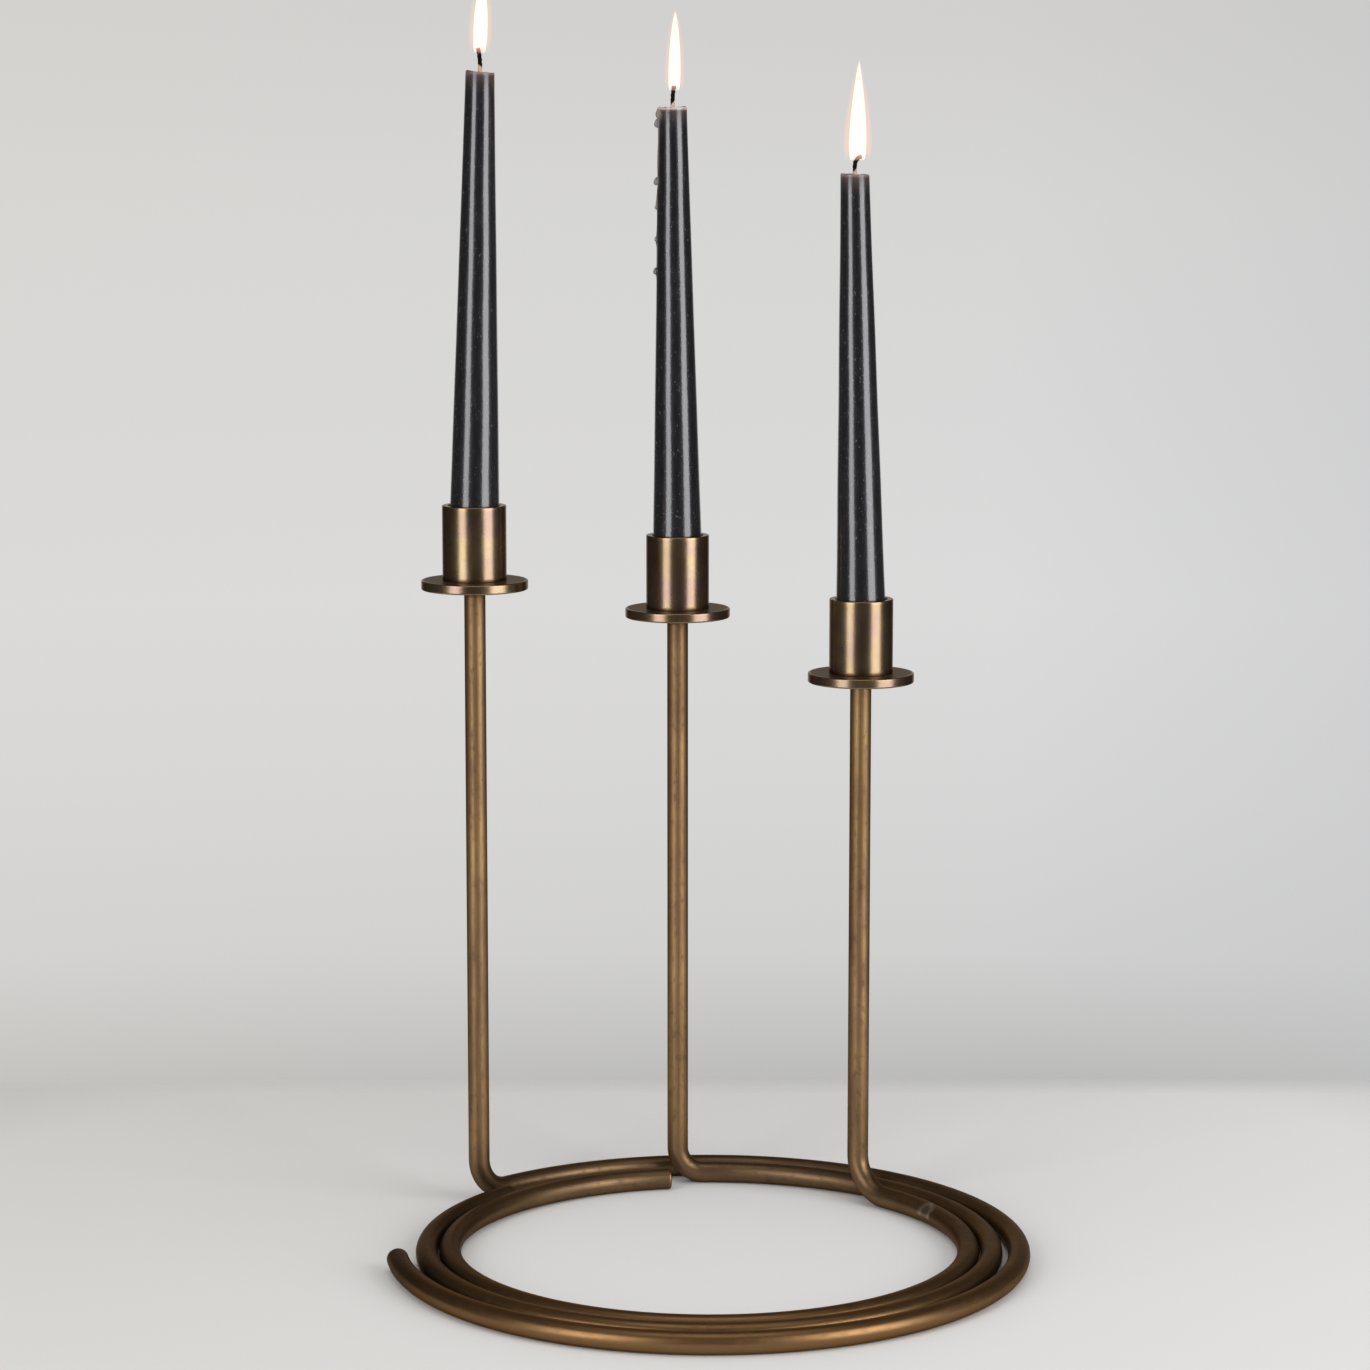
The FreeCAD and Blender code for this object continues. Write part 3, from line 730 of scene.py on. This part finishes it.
def make_wick(holder, material, seed):
    """Braided cord: a core hidden in the wax, a straight rise, then an arc, with the braid's ripple."""
    rise, curl, lean, heading = WICKS[holder]
    lean = math.radians(lean)
    heading = math.radians(heading)
    bend = curl * MM / lean
    toward = np.array([math.cos(heading), math.sin(heading), 0])
    up = np.array([0, 0, 1.0])
    dish = CANDLE_LENGTH[holder] - DISH_DEPTH
    start = (dish + rise * MM) * up
    turn = np.linspace(0, lean, 50)[:, None]
    arc = start + bend * (1 - np.cos(turn)) * toward + bend * np.sin(turn) * up
    arc_way = np.sin(turn) * toward + np.cos(turn) * up
    core = start - np.linspace(rise + WICK_SUNK, 0, 40)[:-1, None] * MM * up
    line = np.concatenate([core[:1], core, arc, arc[-1:]])
    way = np.concatenate([np.tile(up, (len(core) + 1, 1)), arc_way, arc_way[-1:]])
    across = np.tile(np.cross(up, toward), (len(line), 1))
    along = distances(line)[:, None]
    radius = np.full((len(line), 1), WICK_RADIUS)
    radius[0] = 0
    radius[-2:] = [[0.7 * WICK_RADIUS], [0]]
    angle = around(24)
    ripple = 0.06 * np.sin(3 * angle + along / MM * 2.6) - 0.05 * np.sin(along / MM * 3.4)
    points = tube(line, np.cross(across, way), across, radius * (0.98 + ripple), angle)
    unrolled = round_grid(radius / MM, angle, along / MM) + seed
    # Charred above a slanting line 1.5 to 3.7 mm above the dish, and glowing at the tip
    above = along / MM - WICK_SUNK
    charred = np.clip((above - (2.6 + 1.1 * np.cos(angle - 0.5))) / 0.7, 0, 1)
    glowing = np.clip((above - (rise + curl) * 0.72) / 3.0, 0, 1)
    marks = {"charred": charred, "glowing": glowing}
    return surface(f"{holder}_cord_wick", leaning(holder, points), unrolled, material, marks)


def make_flame(holder, name, swell, stretch, material):
    """A flame: radius t^0.2 (1 - t)^pointed, scaled to its widest, over a gently drifting axis.

    Its foot is a thin wall round a hollow that the wick's tip stands in.
    """
    foot, tip, wide, pointed, drift = FLAMES[holder]
    t = np.linspace(0.02, 1, 60)
    girth = t ** 0.2 * (1 - t) ** pointed
    girth = girth / girth.max() * wide * swell
    level = foot + (t - t[0]) * (tip - foot + stretch)
    share = np.sin(np.linspace(0, np.pi / 2, 12))[:-1]
    inside = foot + FLAME_HOLLOW * (1 - share ** 10)
    girth = np.concatenate([0.96 * share * np.interp(inside, level, girth), girth])[:, None]
    level = np.concatenate([inside, level])[:, None]
    sway = drift[0] + (drift[1] - drift[0]) * (level - foot) / (tip - foot)
    points = round_grid(girth, around(40), CANDLE_LENGTH[holder] / MM + level)
    points[..., 0] += sway
    points = leaning(holder, points * MM)
    lit = np.clip((level - foot - 2.2) / 3, 0.04, 1)
    return surface(f"{holder}_{name}", points, points / MM, material, {"lit": lit})


def build_object():
    """Every visible piece, on the body that carries it. A seed of its own shifts each piece's pattern."""
    bar_brass = drawn_brass()
    cup_brass = turned_brass()
    wax = dipped_wax()
    bead_wax = run_wax()
    cotton = braided_wick()
    steel = plain_steel()
    core = burning_vapour(
        "burning_vapour", "#ffcebb", strength=2.6, clear_depth=2.4, skin_colour="#fff6ea", skin=0.4
    )
    haze = burning_vapour(
        "glowing_air", "#ffc09a", strength=1.45, clear_depth=30, skin_colour="#ffdcc4", skin=0.03
    )
    for number, holder in enumerate(HOLDERS, start=1):
        seed = 17.0 * number
        holder_body = f"{holder}_holder"
        taper_body = f"{holder}_taper"
        bar = make_bar(holder, bar_brass, seed)
        pan = make_pan(holder, cup_brass, seed)
        cup = make_cup(holder, cup_brass, seed + 40)
        candle = make_candle(holder, wax, float(number), runs=holder == "middle")
        wick = make_wick(holder, cotton, seed)
        for piece, body, node, slot in (
            (bar, holder_body, "arm", "antique_brass"),
            (pan, holder_body, "drip_pan", "antique_brass"),
            (cup, holder_body, "candle_cup", "antique_brass"),
            (candle, taper_body, "candle", "dark_wax"),
            (wick, taper_body, "wick", "wick_cotton"),
        ):
            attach(piece, body)
            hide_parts(f"{holder}_{node}")
        for name, swell, stretch, material in (("flame", 1.0, 0.0, core), ("flame_haze", 1.65, 1.0, haze)):
            flame = make_flame(holder, name, swell, stretch, material)
            flame.visible_shadow = False
            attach(flame, taper_body)
        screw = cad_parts[f"{holder}_cup_screw"]
        screw.data.materials.clear()
        screw.data.materials.append(steel)
    for number, (heading, below, size) in enumerate(BEADS, start=1):
        bead = make_bead(number, heading, below, size, bead_wax)
        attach(bead, "middle_taper")


def make_floor():
    """Pale matt floor that fades out all round, and sooner behind, where the wall's foot is."""
    material, tree = blank_material("matt_pale_floor")
    place = add(tree, "TexCoord", out="Object")
    across = add(tree, "SeparateXYZ", {0: place}, out="X")
    back = add(tree, "SeparateXYZ", {0: place}, out="Y")
    away = add(tree, "VectorMath", {0: place}, out="Value", operation="LENGTH")
    cloud = add(tree, "TexNoise", {"Vector": place, "Scale": 4.0, "Detail": 3.0})
    near = add(tree, "MapRange", {"Value": back, "From Min": 0.31, "From Max": -0.05})
    colour = add(tree, "ValToRGB", {0: near}, stops=FLOOR_SHADES)
    colour = stained(tree, colour, "#d2cec9", cloud, 0.3, 0.7, most=0.15)
    # Painted light: the floor is painted darker and warmer to the left and lighter to the right
    colour = stained(tree, colour, "#d3d0cb", across, 0.0, -0.3, most=0.5)
    colour = stained(tree, colour, "#e2e2e2", across, 0.05, 0.32, most=0.5)
    # Painted shade: nearer the lamps the floor is painted darker, so that it looks even from all sides
    colour = stained(tree, colour, "#969696", away, 0.40, 0.95)
    paper = add(tree, "BsdfPrincipled", {"Base Color": colour, "Roughness": 0.75, "Specular IOR Level": 0.2})
    edge = add(tree, "MapRange", {"Value": away, "From Min": FLOOR_FADE, "From Max": FLOOR_REACH})
    foot = add(tree, "MapRange", {"Value": back, "From Min": FLOOR_FAR - 0.035, "From Max": FLOOR_FAR})
    gone = add(tree, "Math", {0: edge, 1: foot}, operation="MAXIMUM")
    clear = add(tree, "BsdfTransparent")
    add(tree, "OutputMaterial", {"Surface": add(tree, "MixShader", {0: gone, 1: paper, 2: clear})})
    count = 9
    wide = np.linspace(-FLOOR_REACH, FLOOR_REACH, count)
    x, y = np.meshgrid(wide, np.linspace(-FLOOR_REACH, FLOOR_FAR, count))
    index = np.arange(count * count).reshape(count, count)
    quads = np.stack([index[:-1, :-1], index[:-1, 1:], index[1:, 1:], index[1:, :-1]], -1).reshape(-1, 4)
    mesh = bpy.data.meshes.new("pale_floor")
    mesh.from_pydata(np.stack([x, y, 0 * x], -1).reshape(-1, 3).tolist(), [], quads.tolist())
    mesh.materials.append(material)
    floor = bpy.data.objects.new("pale_floor", mesh)
    bpy.context.scene.collection.objects.link(floor)


def make_world():
    """A pale wall behind the object, seen by the camera and in reflections, in a dim studio.

    Soft light from all round, a little under plain level, stands in for what the room scatters.
    """
    world = bpy.data.worlds.new("studio")
    bpy.context.scene.world = world
    world.use_nodes = True
    tree = world.node_tree
    tree.nodes.clear()
    way = add(tree, "TexCoord", out="Generated")
    across = add(tree, "SeparateXYZ", {0: way}, out="X")
    ahead = add(tree, "SeparateXYZ", {0: way}, out="Y")
    level = add(tree, "SeparateXYZ", {0: way}, out="Z")
    level = add(tree, "MapRange", {"Value": level, "From Min": -0.25, "From Max": 0.03})
    wall = add(tree, "ValToRGB", {0: level}, stops=WALL_SHADES)
    # Painted light: the wall is painted warmer to the left and darker to the right
    wall = stained(tree, wall, "#dcd8d0", across, 0.10, -0.17, most=0.25)
    wall = stained(tree, wall, "#c2c2c3", across, 0.08, 0.17, most=0.35)
    # In reflections the wall spans about 30 degrees either side, and past it the studio is dark
    studio = stained(tree, "#4c4a48", wall, ahead, 0.82, 0.92)
    by_camera = add(tree, "LightPath", out="Is Camera Ray")
    glossy = add(tree, "LightPath", out="Is Glossy Ray")
    through = add(tree, "LightPath", out="Is Transmission Ray")
    seen = add(tree, "Background", {"Color": stained(tree, studio, wall, by_camera, 0, 1), "Strength": 1.0})
    scattered = add(tree, "Background", {"Color": "#f6f4f2", "Strength": 0.62})
    shows = add(tree, "Math", {0: by_camera, 1: glossy}, operation="ADD")
    shows = add(tree, "Math", {0: shows, 1: through}, operation="ADD")
    add(tree, "OutputWorld", {"Surface": add(tree, "MixShader", {0: shows, 1: scattered, 2: seen})})


def softbox(name, azimuth, distance, height, width, tall, radiance):
    """An upright rectangular lamp at an azimuth from the camera's side, facing the object's middle."""
    turn = math.radians(azimuth)
    lamp = bpy.data.lights.new(name, "AREA")
    lamp.shape = "RECTANGLE"
    lamp.size = width
    lamp.size_y = tall
    lamp.energy = radiance * math.pi * width * tall
    place = bpy.data.objects.new(name, lamp)
    place.location = (distance * math.sin(turn), -distance * math.cos(turn), height)
    aim = np.array(LAMP_AIM) - np.array(place.location)
    place.rotation_euler = (math.atan2(math.hypot(aim[0], aim[1]), -aim[2]), 0, math.atan2(-aim[0], aim[1]))
    bpy.context.scene.collection.objects.link(place)


def make_camera():
    """The camera at the photograph's viewing angle."""
    camera = bpy.data.cameras.new("photograph_camera")
    camera.sensor_width = SENSOR_MM
    camera.lens = FOCAL_PIXELS * SENSOR_MM / PHOTO_PIXELS
    camera.clip_start = 0.05
    camera.clip_end = 20
    place = bpy.data.objects.new("photograph_camera", camera)
    place.location = CAMERA_PLACE
    place.rotation_euler = (math.radians(90 - CAMERA_PITCH), 0, 0)
    bpy.context.scene.collection.objects.link(place)
    bpy.context.scene.camera = place


make_camera()
build_object()
make_floor()
make_world()
for lamp_name, lamp_sizes in SOFTBOXES.items():
    softbox(lamp_name, *lamp_sizes)
bpy.context.scene.view_settings.view_transform = "Standard"
